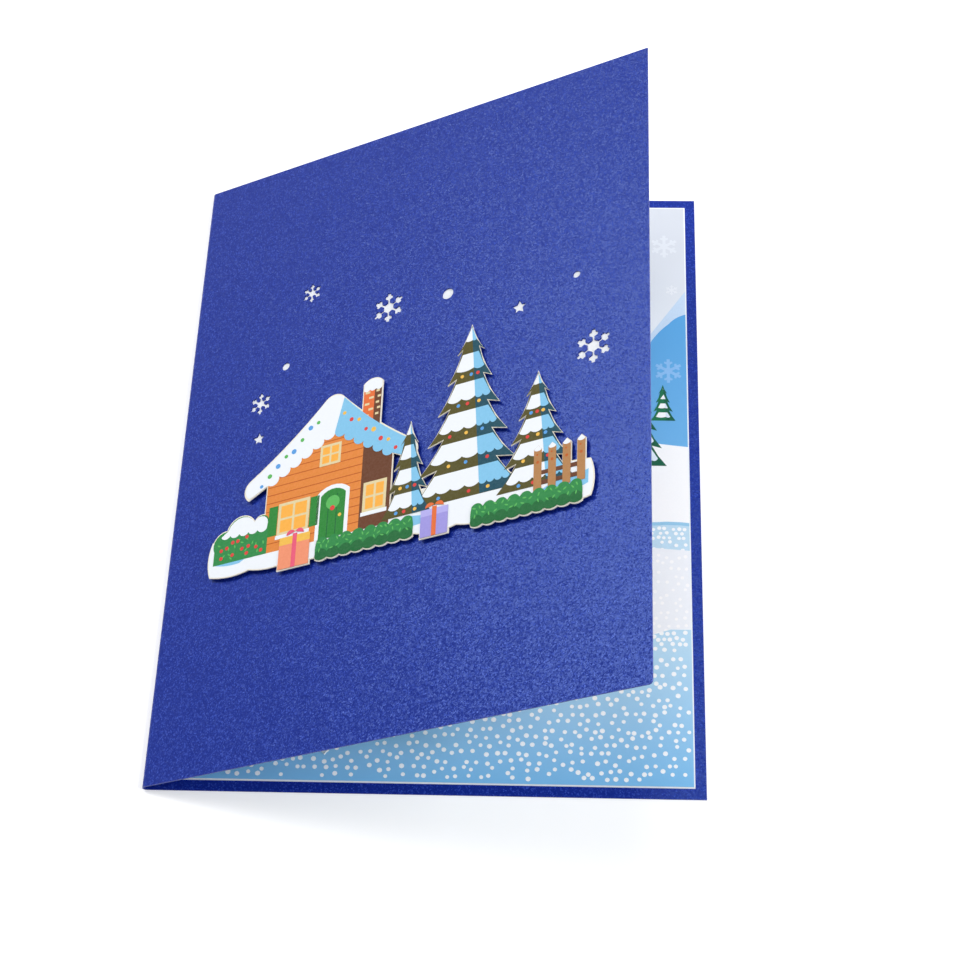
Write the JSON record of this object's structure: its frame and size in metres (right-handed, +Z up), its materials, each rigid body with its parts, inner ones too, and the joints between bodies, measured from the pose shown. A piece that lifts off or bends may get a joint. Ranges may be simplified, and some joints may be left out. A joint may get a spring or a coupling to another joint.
{
  "type": "pop up card",
  "caption": "Folded greeting card lying half open, with a raised die cut winter scene on the front and folded pop up sheets inside.",
  "frame": {"origin": "centre of the card's footprint, on the surface it lies on", "axes": "+Z up off the back panel, +Y along the spine towards the top of the card, +X from the spine to the free edges"},
  "size_m": [0.15, 0.2, 0.0698],
  "materials": {
    "pearl_card": "pearl",
    "printed_liner": "matte",
    "printed_scene": "satin",
    "popup_card": "matte",
    "white_foam": "matte"
  },
  "bodies": {
    "root": {"cover": "pearl_card", "liner": "printed_liner", "cover_scene": "printed_scene", "popup_firs": "popup_card", "popup_cottage": "popup_card", "popup_fence": "popup_card", "foam_pad_1": "white_foam", "foam_pad_2": "white_foam", "foam_pad_3": "white_foam", "foam_pad_4": "white_foam", "foam_pad_5": "white_foam", "foam_pad_6": "white_foam", "foam_pad_7": "white_foam"}
  },
  "joints": []
}
